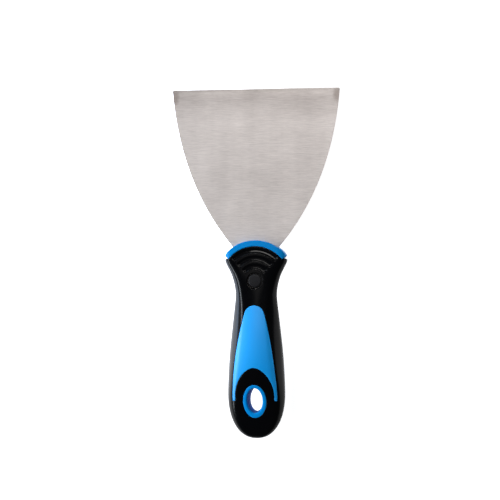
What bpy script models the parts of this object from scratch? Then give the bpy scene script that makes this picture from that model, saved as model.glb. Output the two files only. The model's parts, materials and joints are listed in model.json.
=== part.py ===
"""A 100 mm taping knife with a two-colour hand grip.

The knife is modelled in its own plane: the fixing rivet stands at the origin, the blade points
along +Y and the front face looks along +Z. One empty then lays the whole knife down the way it
rests on a bench: on the cutting edge and on the belly of the handle.
"""

import math

import bmesh
import bpy
from mathutils import Euler, Matrix

MM = 0.001
GAP = 0.3 * MM  # clearance between two pieces that touch on the real knife

# blade
BLADE_HALF_WIDTH = 50.0 * MM
EDGE_Y = 113.4 * MM  # the cutting edge
BLADE_THICKNESS = 0.9 * MM
EDGE_THICKNESS = 0.5 * MM
GRIND_START_Y = 34.0 * MM  # the taper grind runs from here to the cutting edge
FLARE_BEND = (45.7 * MM, 60.6 * MM)  # control point of the blade's curved sides
FLARE_FOOT = (17.25 * MM, 24.1 * MM)  # where the curved side turns straight
TANG_HALF_WIDTH = 9.5 * MM
TANG_END_Y = -37.0 * MM
TANG_SHOULDER_Y = 14.6 * MM
TANG_CORNER = 4.0 * MM
RIVET_HOLE_RADIUS = 2.6 * MM
PEG_HOLE_RADIUS = 3.0 * MM

# handle: (distance along the handle, size) pairs joined by a smooth curve
DOME_START_Y = -64.6 * MM
BUTT_Y = -93.4 * MM
DOME_POWER = 2.3
WIDTHS = [(26.0, 18.8), (15.8, 18.8), (11.3, 18.5), (6.3, 16.1), (1.6, 14.15), (-3.2, 12.95), (-8.0, 12.45),
          (-14.9, 12.95), (-26.8, 14.3), (-41.0, 15.8), (-55.0, 16.75), (-64.6, 17.1), (-93.4, 17.15)]
HEIGHTS = [(26.0, 5.0), (11.0, 5.5), (0.0, 6.1), (-14.3, 8.2), (-30.0, 11.0), (-44.0, 12.3),
           (-52.0, 12.0), (-61.0, 10.2), (-71.4, 7.9), (-83.0, 6.2), (-93.4, 5.4)]
CRESTS = [(26.0, 15.7), (11.3, 15.4), (3.4, 11.3), (-7.0, 8.9), (-14.0, 8.2), (-25.0, 8.5),
          (-41.0, 10.2), (-55.0, 12.0), (-64.6, 13.0), (-93.4, 13.0)]
CROWN_SHARE = 0.16  # how far the front face falls from its middle to the crest
WALL_BOW = 0.45  # share of the crest's height up to which the side wall stands upright
CROWN_BOW = 0.5  # share of the crest's half width over which the front face stays level
FILLET_SHARE = 0.25  # share of the wall and of the crown that the fillet between them takes
CREST_INSET = 0.6  # the crest moves in by this share of an inset
SECTION_STEPS = 8  # steps along the wall and along the crown
FILLET_STEPS = 4
SKIN = 2.4 * MM  # thickness of the soft skin

# collar
COLLAR_OUTER = 23.9 * MM
COLLAR_INNER = 20.5 * MM
COLLAR_END_DEGREES = 51.3
NOTCH = (17.7 * MM, 13.5 * MM)
SHOULDER = (18.6 * MM, 12.3 * MM)

# inlay panel
INLAY_TIP_RADIUS = 6.0 * MM
INLAY_TIP_Y = -14.3 * MM
INLAY_LEAN_DEGREES = 15.7
INLAY_SIDE_BEND = (11.9 * MM, -40.5 * MM)
INLAY_HALF_WIDTH = 13.35 * MM
INLAY_SIDE_END_Y = -66.0 * MM
TAIL_END_Y = -70.8 * MM
TAIL_WIDTH = 1.65 * MM
ARCH_TOP_Y = -50.9 * MM
ARCH_FOOT_Y = -67.5 * MM
ARCH_POWER = 1.8

# hang hole
RING_Y = -70.95 * MM
RING_HALF = (6.95 * MM, 9.95 * MM)
BORE_Y = -70.4 * MM
BORE_HALF = (4.4 * MM, 7.15 * MM)

# grooves beside the cap: (outer radius, inner radius, half angle in degrees)
GROOVES = [(18.9 * MM, 16.7 * MM, 46.0), (14.2 * MM, 12.0 * MM, 48.0), (9.5 * MM, 7.3 * MM, 50.0)]
GROOVE_FLOOR = 4.7 * MM

# rivet and caps
RIVET_HEAD_RADIUS = 3.6 * MM
RIVET_HEAD_LOW = 2.3 * MM
RIVET_HEAD_HIGH = 3.1 * MM
BARREL_RADIUS = 2.15 * MM
BARREL_BORE = 1.45 * MM
PIN_RADIUS = 1.15 * MM
CORE_BORE = 2.45 * MM
COUNTERBORE_FLOOR = 2.0 * MM
CAP_WELL_RADIUS = 4.8 * MM
CAP_FLANGE_RADIUS = 4.5 * MM
CAP_RADIUS = 3.7 * MM
CAP_LOW = 3.4 * MM
CAP_FLANGE_HIGH = 4.6 * MM
CAP_HIGH = 6.1 * MM
CAP_CROWN_FALL = 0.06 * MM  # how far the cap's top has fallen half way out
CAP_RIM_HIGH = 5.8 * MM
CAP_RIM_BREAK = 0.4 * MM
HEAD_BREAK = 0.3 * MM  # chamfer of the rivet heads
BARREL_ROOF = 0.8 * MM  # solid metal above the barrel's bore
PIN_END = -1.0 * MM

# pegs that locate the two core halves, and pockets that save plastic
PEG_RADIUS = 2.5 * MM
PEG_REACH = 3.4 * MM
PEG_YS = (-27.0 * MM, -56.0 * MM)
POCKET_X = 6.4 * MM
POCKET_Y = -49.5 * MM
POCKET_SIZE = (6.0 * MM, 15.0 * MM)
POCKET_DEPTH = 7.0 * MM

TALL = 40.0 * MM  # taller than anything in the handle
FAR = 120.0 * MM  # further out than any part of the handle
MERGE = 0.002 * MM  # points closer than this are one point

# where the handle's sections stand
STATIONS = (26, 20, 15.8, 12.3, 9, 5.5, 2, -2, -6, -11, -16, -22, -28, -34, -39, -44, -48.5, -53, -57, -61)
DOME_STEPS = 8
DOME_LAST_DEGREES = 86.0
CIRCLE_POINTS = 24
HOLE_END_DEGREES = 360 * (CIRCLE_POINTS - 1) / CIRCLE_POINTS
SHARP_DEGREES = 35.0


# ---------------------------------------------------------------- shape rules


def along(pairs, y):
    """The smooth curve through the (mm, mm) pairs, read at y in metres."""
    points = sorted((a * MM, b * MM) for a, b in pairs)
    y = min(max(y, points[0][0]), points[-1][0])
    i = next(k for k in range(len(points) - 1) if y <= points[k + 1][0])

    def slope(k):
        low, high = points[max(k - 1, 0)], points[min(k + 1, len(points) - 1)]
        return (high[1] - low[1]) / (high[0] - low[0])

    (a, p), (b, q) = points[i], points[i + 1]
    length = b - a
    t = (y - a) / length
    rise = p * (2 * t**3 - 3 * t**2 + 1) + q * (3 * t**2 - 2 * t**3)
    return rise + length * (slope(i) * (t**3 - 2 * t**2 + t) + slope(i + 1) * (t**3 - t**2))


def dome(y):
    """1 along the handle, falling to 0 at the butt."""
    u = max(0.0, (DOME_START_Y - y) / (DOME_START_Y - BUTT_Y))
    return max(0.0, 1.0 - u**DOME_POWER) ** (1.0 / DOME_POWER)


def half_width(y):
    return along(WIDTHS, y) * dome(y)


def half_height(y):
    return along(HEIGHTS, y) * dome(y)


def crest(y):
    """Half the width of the front face."""
    return along(CRESTS, y) * dome(y)


def bend(start, control, end, steps):
    """Points of a quadratic curve, its start left out."""
    points = []
    for i in range(1, steps + 1):
        t = i / steps
        points.append(tuple((1 - t) ** 2 * a + 2 * t * (1 - t) * b + t * t * c
                            for a, b, c in zip(start, control, end)))
    return points


def crossing(a, a_way, b, b_way):
    """Where the line through a along a_way meets the line through b along b_way."""
    cross = a_way[0] * b_way[1] - a_way[1] * b_way[0]
    reach = ((b[0] - a[0]) * b_way[1] - (b[1] - a[1]) * b_way[0]) / cross
    return (a[0] + reach * a_way[0], a[1] + reach * a_way[1])


def quarter(y, inset):
    """The section from the parting plane at the side to the middle of the front face."""
    width = half_width(y) - inset * dome(y)
    height = half_height(y) - inset * dome(y)
    edge = crest(y) - CREST_INSET * inset * dome(y)
    shoulder = height * (1 - CROWN_SHARE)
    wall = [(width, 0.0)]
    wall += bend(wall[0], (width, WALL_BOW * shoulder), (edge, shoulder), SECTION_STEPS)
    crown = [(edge, shoulder)]
    crown += bend(crown[0], (CROWN_BOW * edge, height), (0.0, height), SECTION_STEPS)
    cut = round(SECTION_STEPS * FILLET_SHARE)
    left = 1 - FILLET_SHARE
    wall_way = (left * (edge - width), (FILLET_SHARE * WALL_BOW + left * (1 - WALL_BOW)) * shoulder)
    crown_way = (-(FILLET_SHARE * CROWN_BOW + left * (1 - CROWN_BOW)) * edge, left * (height - shoulder))
    corner = crossing(wall[-1 - cut], wall_way, crown[cut], crown_way)
    fillet = bend(wall[-1 - cut], corner, crown[cut], FILLET_STEPS)
    half = SECTION_STEPS // 2
    return [wall[0], wall[half - 1], wall[-1 - cut]] + fillet + [crown[half + 1], crown[-1]]


def stations(end_inset):
    ys = [y * MM for y in STATIONS]
    reach = DOME_START_Y - BUTT_Y - end_inset
    for i in range(DOME_STEPS + 1):
        ys.append(DOME_START_Y - reach * math.sin(math.radians(DOME_LAST_DEGREES * i / DOME_STEPS)))
    return ys


def arc(radius, centre, start_degrees, end_degrees, steps):
    """Points of an arc, angles counted from +Y towards +X."""
    points = []
    for i in range(steps + 1):
        angle = math.radians(start_degrees + (end_degrees - start_degrees) * i / steps)
        points.append((centre[0] + radius * math.sin(angle), centre[1] + radius * math.cos(angle)))
    return points


def mirrored(right):
    """A closed outline from its right half, listed from the top down."""
    left = [(-x, y) for x, y in reversed(right)]
    return right + [p for p in left if abs(p[0]) > 1e-9]


def ellipse(half, y, grow=0.0):
    points = []
    for i in range(CIRCLE_POINTS):
        angle = 2 * math.pi * i / CIRCLE_POINTS
        points.append(((half[0] + grow) * math.sin(angle), y + (half[1] + grow) * math.cos(angle)))
    return points


def inlay_outline(grow=0.0):
    centre = (0.0, INLAY_TIP_Y - INLAY_TIP_RADIUS)
    right = arc(INLAY_TIP_RADIUS + grow, centre, 0, 90 - INLAY_LEAN_DEGREES, 5)
    side_end = (INLAY_HALF_WIDTH + grow, INLAY_SIDE_END_Y)
    control = (INLAY_SIDE_BEND[0] + grow, INLAY_SIDE_BEND[1])
    right += bend(right[-1], control, side_end, 6)
    right.append((INLAY_HALF_WIDTH + grow, TAIL_END_Y - grow))
    inner = INLAY_HALF_WIDTH - TAIL_WIDTH - grow
    right.append((inner, TAIL_END_Y - grow))
    rise = ARCH_TOP_Y - grow - ARCH_FOOT_Y
    for i in range(9):
        angle = math.radians(90 * i / 8)
        x = inner * math.cos(angle) ** (2 / ARCH_POWER)
        right.append((x if i < 8 else 0.0, ARCH_FOOT_Y + rise * math.sin(angle) ** (2 / ARCH_POWER)))
    return mirrored(right)


def collar_outline(inner):
    """A band from a radius to well past the collar, with its ends cut to the notch."""
    right = arc(2 * COLLAR_OUTER, (0, 0), 0, COLLAR_END_DEGREES, 8)
    right.append((NOTCH[0] * inner / COLLAR_INNER, NOTCH[1] * inner / COLLAR_INNER))
    right += arc(inner, (0, 0), COLLAR_END_DEGREES, 0, 8)
    return mirrored(right)


def trim_outline():
    """Everything beyond the collar, with the small notch between collar and shoulder."""
    right = arc(COLLAR_OUTER, (0, 0), 0, COLLAR_END_DEGREES, 10)
    right += [NOTCH, SHOULDER, (FAR, SHOULDER[1]), (FAR, FAR), (0.0, FAR)]
    return mirrored(right)


def tang_outline(grow=0.0):
    """The right side of the tang, from its shoulder down to the middle of its end."""
    corner = (TANG_HALF_WIDTH - TANG_CORNER, TANG_END_Y + TANG_CORNER)
    return [(TANG_HALF_WIDTH + grow, TANG_SHOULDER_Y)] + arc(TANG_CORNER + grow, corner, 90, 180, 4)


def blade_outline():
    right = [(0.0, EDGE_Y), (BLADE_HALF_WIDTH, EDGE_Y)]
    right += bend((BLADE_HALF_WIDTH, EDGE_Y), FLARE_BEND, FLARE_FOOT, 18)
    return mirrored(right + tang_outline())


def seat_outline():
    """The room for the blade between the core halves: the tang and the straight flanks, with clearance."""
    rise = 2 * COLLAR_OUTER - TANG_SHOULDER_Y
    flank = (FLARE_FOOT[0] - TANG_HALF_WIDTH) / (FLARE_FOOT[1] - TANG_SHOULDER_Y)
    top = [(0.0, TANG_SHOULDER_Y + rise), (TANG_HALF_WIDTH + GAP + flank * rise, TANG_SHOULDER_Y + rise)]
    return mirrored(top + tang_outline(GAP))


# ------------------------------------------------------------- object making

for old in list(bpy.data.objects):
    bpy.data.objects.remove(old)
knife = bpy.data.collections.new("taping_knife")
cutters = bpy.data.collections.new("cutters")
for made in (knife, cutters):
    bpy.context.scene.collection.children.link(made)


def material(name, colour, roughness, metallic):
    new = bpy.data.materials.new(name)
    new.use_nodes = True
    shader = new.node_tree.nodes["Principled BSDF"]
    shader.inputs["Base Color"].default_value = (*colour, 1.0)
    shader.inputs["Roughness"].default_value = roughness
    shader.inputs["Metallic"].default_value = metallic
    return new


STEEL = material("brushed_stainless", (0.56, 0.53, 0.51), 0.32, 1.0)
RIVET_STEEL = material("rivet_steel", (0.5, 0.5, 0.5), 0.4, 1.0)
BLUE = material("blue_polypropylene", (0.0, 0.28, 0.83), 0.45, 0.0)
BLACK = material("black_soft_grip", (0.006, 0.006, 0.008), 0.3, 0.0)


def new_object(name, mesh, collection, surface=None):
    made = bpy.data.objects.new(name, mesh)
    collection.objects.link(made)
    if surface:
        mesh.materials.clear()
        mesh.materials.append(surface)
    if collection is cutters:
        made.hide_render = True
        made.display_type = "WIRE"
    return made


def from_bmesh(name, bm, collection, surface=None):
    bmesh.ops.remove_doubles(bm, verts=bm.verts, dist=5 * MERGE)
    bmesh.ops.recalc_face_normals(bm, faces=bm.faces)
    mesh = bpy.data.meshes.new(name)
    bm.to_mesh(mesh)
    bm.free()
    return new_object(name, mesh, collection, surface)


def prism(name, outlines, low, high, collection=cutters, surface=None):
    """Flat outlines filled and extruded; an outline inside another leaves a hole."""
    curve = bpy.data.curves.new(name, "CURVE")
    curve.dimensions = "2D"
    curve.fill_mode = "BOTH"
    curve.extrude = (high - low) / 2
    for outline in outlines:
        spline = curve.splines.new("POLY")
        spline.points.add(len(outline) - 1)
        for point, (x, y) in zip(spline.points, outline):
            point.co = (x, y, 0.0, 1.0)
        spline.use_cyclic_u = True
    drawn = bpy.data.objects.new(name + "_outline", curve)
    bpy.context.scene.collection.objects.link(drawn)
    graph = bpy.context.evaluated_depsgraph_get()
    mesh = bpy.data.meshes.new_from_object(drawn.evaluated_get(graph))
    bpy.data.objects.remove(drawn)
    mesh.transform(Matrix.Translation((0, 0, (low + high) / 2)))
    bm = bmesh.new()
    bm.from_mesh(mesh)
    bpy.data.meshes.remove(mesh)
    return from_bmesh(name, bm, collection, surface)


def handle_form(name, inset, end_inset):
    """The handle's outer form, or the same form drawn in by inset, lofted section by section."""
    bm = bmesh.new()
    rings = []
    for y in stations(end_inset):
        right = quarter(y, inset)
        front = right + [(-x, z) for x, z in reversed(right[:-1])]
        loop = front + [(x, -z) for x, z in reversed(front[1:-1])]
        rings.append([bm.verts.new((x, y, z)) for x, z in loop])
    for ring, following in zip(rings, rings[1:]):
        count = len(ring)
        for i in range(count):
            j = (i + 1) % count
            bm.faces.new((ring[i], ring[j], following[j], following[i]))
    bm.faces.new(rings[0])
    bm.faces.new(rings[-1])
    return from_bmesh(name, bm, cutters)


def box(name, low, high):
    bm = bmesh.new()
    size = [b - a for a, b in zip(low, high)]
    middle = [(a + b) / 2 for a, b in zip(low, high)]
    bmesh.ops.create_cube(bm, size=1.0, matrix=Matrix.LocRotScale(middle, None, size))
    return from_bmesh(name, bm, cutters)


def cylinder(name, radius, low, high, y=0.0):
    bm = bmesh.new()
    place = Matrix.Translation((0, y, (low + high) / 2))
    bmesh.ops.create_cone(bm, cap_ends=True, segments=CIRCLE_POINTS, radius1=radius, radius2=radius,
                          depth=high - low, matrix=place)
    return from_bmesh(name, bm, cutters)


def combine(target, operation, *others):
    """Boolean the others into the target, one after another, and keep the result."""
    for other in others:
        step = target.modifiers.new(operation.lower(), "BOOLEAN")
        step.operation = operation
        step.solver = "EXACT"
        step.object = other
        graph = bpy.context.evaluated_depsgraph_get()
        mesh = bpy.data.meshes.new_from_object(target.evaluated_get(graph))
        target.modifiers.clear()
        bm = bmesh.new()
        bm.from_mesh(mesh)
        bmesh.ops.remove_doubles(bm, verts=bm.verts, dist=MERGE)
        bmesh.ops.dissolve_degenerate(bm, edges=bm.edges, dist=MERGE)
        bm.to_mesh(mesh)
        bm.free()
        target.data = mesh
    return target


def copy(source, name, collection, surface=None, flip=False):
    """A copy of an object's mesh; flipped, it is the mirror image in the blade's plane."""
    bm = bmesh.new()
    bm.from_mesh(source.data)
    if flip:
        bmesh.ops.scale(bm, vec=(1, 1, -1), verts=bm.verts)
        bmesh.ops.reverse_faces(bm, faces=bm.faces)
    mesh = bpy.data.meshes.new(name)
    bm.to_mesh(mesh)
    bm.free()
    return new_object(name, mesh, collection, surface)


def turned(name, profile, surface, flip=False):
    """A profile of (radius, height) pairs, listed top to bottom, turned about the rivet's axis."""
    mesh = bpy.data.meshes.new(name)
    mesh.from_pydata([(r, 0.0, z) for r, z in profile], [(i, i + 1) for i in range(len(profile) - 1)], [])
    drawn = bpy.data.objects.new(name + "_profile", mesh)
    bpy.context.scene.collection.objects.link(drawn)
    screw = drawn.modifiers.new("turn", "SCREW")
    screw.steps = CIRCLE_POINTS
    screw.render_steps = CIRCLE_POINTS
    screw.use_merge_vertices = True
    screw.merge_threshold = MERGE
    graph = bpy.context.evaluated_depsgraph_get()
    solid = bpy.data.meshes.new_from_object(drawn.evaluated_get(graph))
    bpy.data.objects.remove(drawn)
    bm = bmesh.new()
    bm.from_mesh(solid)
    if flip:
        bmesh.ops.scale(bm, vec=(1, 1, -1), verts=bm.verts)
    return from_bmesh(name, bm, knife, surface)


# -------------------------------------------------------------------- blade


def make_blade():
    """The rolled blank: full thickness at the tang, taper ground to the cutting edge."""
    rivet_hole = arc(RIVET_HOLE_RADIUS, (0, 0), 0, HOLE_END_DEGREES, CIRCLE_POINTS - 1)
    peg_hole = arc(PEG_HOLE_RADIUS, (0, PEG_YS[0]), 0, HOLE_END_DEGREES, CIRCLE_POINTS - 1)
    blade = prism("blade", [blade_outline(), rivet_hole, peg_hole],
                  -BLADE_THICKNESS / 2, BLADE_THICKNESS / 2, knife, STEEL)
    bm = bmesh.new()
    bm.from_mesh(blade.data)
    everything = bm.verts[:] + bm.edges[:] + bm.faces[:]
    bmesh.ops.bisect_plane(bm, geom=everything, plane_co=(0, GRIND_START_Y, 0), plane_no=(0, 1, 0))
    loss = 1 - EDGE_THICKNESS / BLADE_THICKNESS
    for vert in bm.verts:
        share = max(0.0, (vert.co.y - GRIND_START_Y) / (EDGE_Y - GRIND_START_Y))
        vert.co.z *= 1 - loss * share
    bm.to_mesh(blade.data)
    bm.free()
    return blade


# ---------------------------------------------------- core halves and skins


def make_handle():
    trim = prism("beyond_collar", [trim_outline()], -TALL, TALL)
    front_side = box("front_side", (-FAR, -FAR, GAP / 2), (FAR, FAR, TALL))
    half = handle_form("outer_form", 0.0, 0.0)
    combine(half, "INTERSECT", front_side)
    combine(half, "DIFFERENCE", trim)

    # the hard core: a slimmer form under the skin, with the parts that show standing proud of it
    core = handle_form("inner_form", SKIN + GAP, SKIN + GAP)
    combine(core, "INTERSECT", front_side)
    combine(core, "DIFFERENCE", trim)
    shown = copy(half, "shown_core", cutters)
    inlay = prism("inlay", [inlay_outline()], 0, TALL)
    ring = prism("ring", [ellipse(RING_HALF, RING_Y)], 0, TALL)
    collar = prism("collar", [collar_outline(COLLAR_INNER)], 0, TALL)
    for window in (inlay, ring, collar):
        piece = copy(shown, "shown_" + window.name, cutters)
        combine(piece, "INTERSECT", window)
        combine(core, "UNION", piece)

    # the soft skin: the outer form less everything that belongs to the core
    skin = copy(half, "skin", cutters)
    combine(skin, "DIFFERENCE", handle_form("skin_inside", SKIN, SKIN))
    combine(skin, "DIFFERENCE",
            prism("inlay_window", [inlay_outline(GAP)], -TALL, TALL),
            prism("ring_window", [ellipse(RING_HALF, RING_Y, GAP)], -TALL, TALL),
            prism("collar_window", [collar_outline(COLLAR_INNER - GAP)], -TALL, TALL),
            cylinder("cap_well", CAP_WELL_RADIUS, 0, TALL))
    for index, (outer, inner, half_angle) in enumerate(GROOVES):
        banana = arc(outer, (0, 0), -half_angle, half_angle, 10)
        banana += arc(inner, (0, 0), half_angle, -half_angle, 10)
        combine(skin, "DIFFERENCE", prism("groove_%d" % index, [banana], GROOVE_FLOOR, TALL))

    # holes and hollows of the core
    seat = BLADE_THICKNESS / 2 + GAP / 2
    combine(core, "DIFFERENCE",
            prism("blade_seat", [seat_outline()], -TALL, seat),
            prism("hang_hole", [ellipse(BORE_HALF, BORE_Y)], -TALL, TALL),
            cylinder("rivet_bore", CORE_BORE, -TALL, TALL),
            cylinder("cap_counterbore", CAP_WELL_RADIUS, COUNTERBORE_FLOOR, TALL))
    for side in (-1, 1):
        low = (side * POCKET_X - POCKET_SIZE[0] / 2, POCKET_Y - POCKET_SIZE[1] / 2, -TALL)
        high = (side * POCKET_X + POCKET_SIZE[0] / 2, POCKET_Y + POCKET_SIZE[1] / 2, POCKET_DEPTH)
        combine(core, "DIFFERENCE", box("pocket", low, high))

    core_front = copy(core, "core_front", knife, BLUE)
    core_back = copy(core, "core_back", knife, BLUE, flip=True)
    for y in PEG_YS:
        combine(core_front, "UNION", cylinder("peg", PEG_RADIUS, -PEG_REACH, PEG_REACH, y))
        combine(core_back, "DIFFERENCE", cylinder("socket", PEG_RADIUS + GAP, -PEG_REACH - GAP, TALL, y))
    copy(skin, "grip_front", knife, BLACK)
    copy(skin, "grip_back", knife, BLACK, flip=True)


# ---------------------------------------------------------- rivet and caps


def rivet_head():
    """The head that both rivet parts share, from its middle down to its underside."""
    return [(0.0, RIVET_HEAD_HIGH), (RIVET_HEAD_RADIUS - 2 * HEAD_BREAK, RIVET_HEAD_HIGH),
            (RIVET_HEAD_RADIUS, RIVET_HEAD_HIGH - HEAD_BREAK), (RIVET_HEAD_RADIUS, RIVET_HEAD_LOW)]


def make_fixings():
    roof = RIVET_HEAD_LOW - BARREL_ROOF
    barrel = rivet_head() + [(BARREL_RADIUS, RIVET_HEAD_LOW), (BARREL_RADIUS, -COUNTERBORE_FLOOR),
                             (BARREL_BORE, -COUNTERBORE_FLOOR), (BARREL_BORE, roof), (0.0, roof)]
    turned("rivet_barrel", barrel, RIVET_STEEL)
    pin = rivet_head() + [(PIN_RADIUS, RIVET_HEAD_LOW), (PIN_RADIUS, PIN_END), (0.0, PIN_END)]
    turned("rivet_pin", pin, RIVET_STEEL, flip=True)
    cap = [(0.0, CAP_HIGH), (CAP_RADIUS / 2, CAP_HIGH - CAP_CROWN_FALL),
           (CAP_RADIUS - CAP_RIM_BREAK, CAP_RIM_HIGH), (CAP_RADIUS, CAP_RIM_HIGH - CAP_RIM_BREAK),
           (CAP_RADIUS, CAP_FLANGE_HIGH), (CAP_FLANGE_RADIUS, CAP_FLANGE_HIGH),
           (CAP_FLANGE_RADIUS, CAP_LOW), (0.0, CAP_LOW)]
    turned("cap_front", cap, BLACK)
    turned("cap_back", cap, BLACK, flip=True)


# ---------------------------------------------------------------- rest pose


def lay_down():
    """Lean the knife until the cutting edge and the handle's belly touch one plane, at z = 0."""
    points = [v.co for part in knife.objects for v in part.data.vertices]
    edge = min((p for p in points if p.y > EDGE_Y - GAP), key=lambda p: p.z)
    lean = max(math.atan2(edge.z - p.z, edge.y - p.y) for p in points if p.y < 0)
    turn = Euler((-lean, 0, 0)).to_matrix()
    turned_points = [turn @ p for p in points]
    lows = [min(p[i] for p in turned_points) for i in range(3)]
    highs = [max(p[i] for p in turned_points) for i in range(3)]
    frame = bpy.data.objects.new("knife_frame", None)
    knife.objects.link(frame)
    frame.rotation_euler = (-lean, 0, 0)
    frame.location = (0, -(lows[1] + highs[1]) / 2, -lows[2])
    for part in list(knife.objects):
        if part is not frame:
            part.parent = frame


make_blade()
make_handle()
make_fixings()
for part in knife.objects:
    part.data.shade_smooth()
    part.data.set_sharp_from_angle(angle=math.radians(SHARP_DEGREES))
lay_down()
bpy.context.view_layer.update()
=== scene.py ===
"""Looks of the 100 mm taping knife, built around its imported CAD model.

Shapes are worked out in the tool's own frame, in millimetres: the fixing rivet is at the origin, the
blade points along +Y and the front face looks along +Z. TOOL then carries them into the CAD frame,
where the knife rests on its cutting edge and on the belly of its handle. The back half of the handle
is the mirror image of the front half.
"""

import json
import math

import bpy
import numpy as np
from mathutils import Matrix, Vector
from mathutils.geometry import delaunay_2d_cdt


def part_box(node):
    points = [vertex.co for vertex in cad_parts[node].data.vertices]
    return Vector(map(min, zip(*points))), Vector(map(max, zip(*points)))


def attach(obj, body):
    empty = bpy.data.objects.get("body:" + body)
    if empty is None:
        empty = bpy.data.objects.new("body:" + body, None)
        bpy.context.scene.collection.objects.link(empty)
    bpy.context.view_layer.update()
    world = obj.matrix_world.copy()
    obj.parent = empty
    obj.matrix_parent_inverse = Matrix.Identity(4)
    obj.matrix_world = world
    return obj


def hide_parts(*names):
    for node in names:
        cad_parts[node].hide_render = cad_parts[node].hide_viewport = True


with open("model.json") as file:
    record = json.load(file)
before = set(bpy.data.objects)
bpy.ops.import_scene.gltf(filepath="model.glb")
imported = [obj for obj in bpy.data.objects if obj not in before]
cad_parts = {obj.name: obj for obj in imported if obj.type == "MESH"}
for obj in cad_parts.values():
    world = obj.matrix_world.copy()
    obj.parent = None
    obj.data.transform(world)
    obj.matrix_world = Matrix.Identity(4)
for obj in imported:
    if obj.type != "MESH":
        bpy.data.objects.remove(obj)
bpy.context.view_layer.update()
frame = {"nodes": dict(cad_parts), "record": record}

# ------------------------------------------------------------------ sizes, mm

# blade
BLADE_HALF_WIDTH = 50.0
EDGE_Y = 113.4
BLADE_THICKNESS = 0.9
EDGE_THICKNESS = 0.5
GRIND_START_Y = 34.0
FLARE_BEND = (45.7, 60.6)
FLARE_FOOT = (17.25, 24.1)
TANG_HALF_WIDTH = 9.5
TANG_SHOULDER_Y = 14.6
TANG_END_Y = -37.0
TANG_CORNER = 4.0
BLADE_CORNER = 0.8
STAIN_OUT = 48.8  # centre of each corner stain, from the middle line
STAIN_DOWN = 4.4  # and from the edge
STAIN_HALF = (2.6, 4.0)
BLADE_BEVEL = 0.12

# handle: (distance along the tool, size) pairs, each list joined by a smooth curve; the sizes are half
# the width at the parting plane, the height above that plane and half the width of the crown
WIDTHS = [(26.0, 18.8), (15.8, 18.8), (11.3, 18.5), (6.3, 16.1), (1.6, 14.15), (-3.2, 12.95),
          (-8.0, 12.45), (-14.9, 12.95), (-26.8, 14.3), (-41.0, 15.8), (-55.0, 16.75),
          (-64.6, 17.1), (-93.4, 17.15)]
HEIGHTS = [(26.0, 5.0), (11.0, 5.5), (0.0, 6.1), (-14.3, 8.2), (-30.0, 11.0), (-44.0, 12.3),
           (-52.0, 12.0), (-61.0, 10.2), (-71.4, 7.9), (-83.0, 6.2), (-93.4, 5.4)]
CRESTS = [(26.0, 15.7), (11.3, 15.4), (3.4, 11.3), (-7.0, 8.9), (-14.0, 8.2), (-25.0, 8.5),
          (-41.0, 10.2), (-55.0, 12.0), (-64.6, 13.0), (-93.4, 13.0)]
WALL_PULL = 0.45  # height of the point that bows the side wall out, as a share of the wall's height
CROWN_SHARE = 0.16  # share of the height that lies in the crown
CROWN_PULL = 0.5  # place of the point that lifts the crown, as a share of the crown's half width
FILLET = 0.25  # share of the wall and of the crown that the fillet between them takes
DOME_START_Y = -64.6
BUTT_Y = -93.4
DOME_POWER = 2.3
SEAM = 0.05  # half the gap between the two halves of the handle
SHOULDER_Y = 12.2
NOTCH = (17.55, 13.1)  # where the collar's end meets the shoulder
SHOULDER_CORNER = (18.2, 12.75)

# black skin
SKIN = 1.6  # thickness
SKIN_EDGE_SHARE = 0.6  # share of the thickness that is left at the parting line
SKIN_REGAIN = 0.5  # share that comes back as the surface rises by one thickness
SKIN_GAP = 0.06  # to the blue pieces set into it
HEAD_GAP = 0.12  # to the collar
HEAD_END_DEGREES = 0.6  # that the skin runs on past the collar's ends
HEAD_ROW_DEGREES = 50.0
PARTING_DROP = 0.05
BUTT_GAP = 0.35

# collar
COLLAR_INNER = 20.5
COLLAR_OUTER = 23.9
COLLAR_END_DEGREES = 51.3
COLLAR_SEAT_HALF_WIDTH = 15.2  # of the part that lies over the blade
COLLAR_SEAT_HEIGHT = 0.5  # above the parting plane, clear of the blade

# inlay panel
INLAY_TIP_RADIUS = 6.0
INLAY_TIP_Y = -14.3
INLAY_LEAN_DEGREES = 15.7
INLAY_SIDE_BEND = (11.9, -40.5)
INLAY_HALF_WIDTH = 13.35
INLAY_SIDE_END_Y = -66.0
TAIL_END_Y = -70.8
TAIL_WIDTH = 1.65
ARCH_TOP_Y = -50.9
ARCH_FOOT_Y = -67.5
ARCH_POWER = 1.8
INLAY_DEPTH = 2.0
INLAY_GAP = 0.02
TAIL_CORNER = 0.35

# hang hole
HOLE_Y = -70.95
RING_HALF = (6.95, 9.95)
BORE_Y = -70.4
BORE_HALF = (4.55, 7.3)
BORE_MIDDLE_HALF = (4.15, 6.8)
RING_GAP = 0.03
LIP_REACH = 0.9
LIP_FALL = 1.3
LIP_START_DEGREES = 12
BORE_ROWS_OF_LIP = 3  # last rows of the rounded lip that take the bore's darker blue, which is painted shade
BORE_HEIGHTS = (0.35, 0.7, 0.96)  # shares of the way down to the middle of the bore
BORE_CHAMFER = 0.12

# thumb grooves, each a slope down from the blade side, a tilted face and a steep wall up to a lip;
# the profile holds (distance out from the lip, depth)
GROOVE_LIPS = (16.45, 11.75, 7.05)  # radius of each lip
GROOVE_HALF_DEGREES = (47.0, 49.0, 52.0)
GROOVE_PROFILE = [(-0.9, 0.0), (-0.5, -0.05), (-0.1, 0.0), (0.3, 0.45), (0.75, 0.66), (1.5, 0.82),
                  (1.75, 0.84), (2.1, 0.72), (2.8, 0.25), (3.35, 0.0)]
GROOVE_DEPTHS = (1.3, 0.8, 0.75)  # share of that depth, groove by groove
GROOVE_END = 1.2

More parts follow.
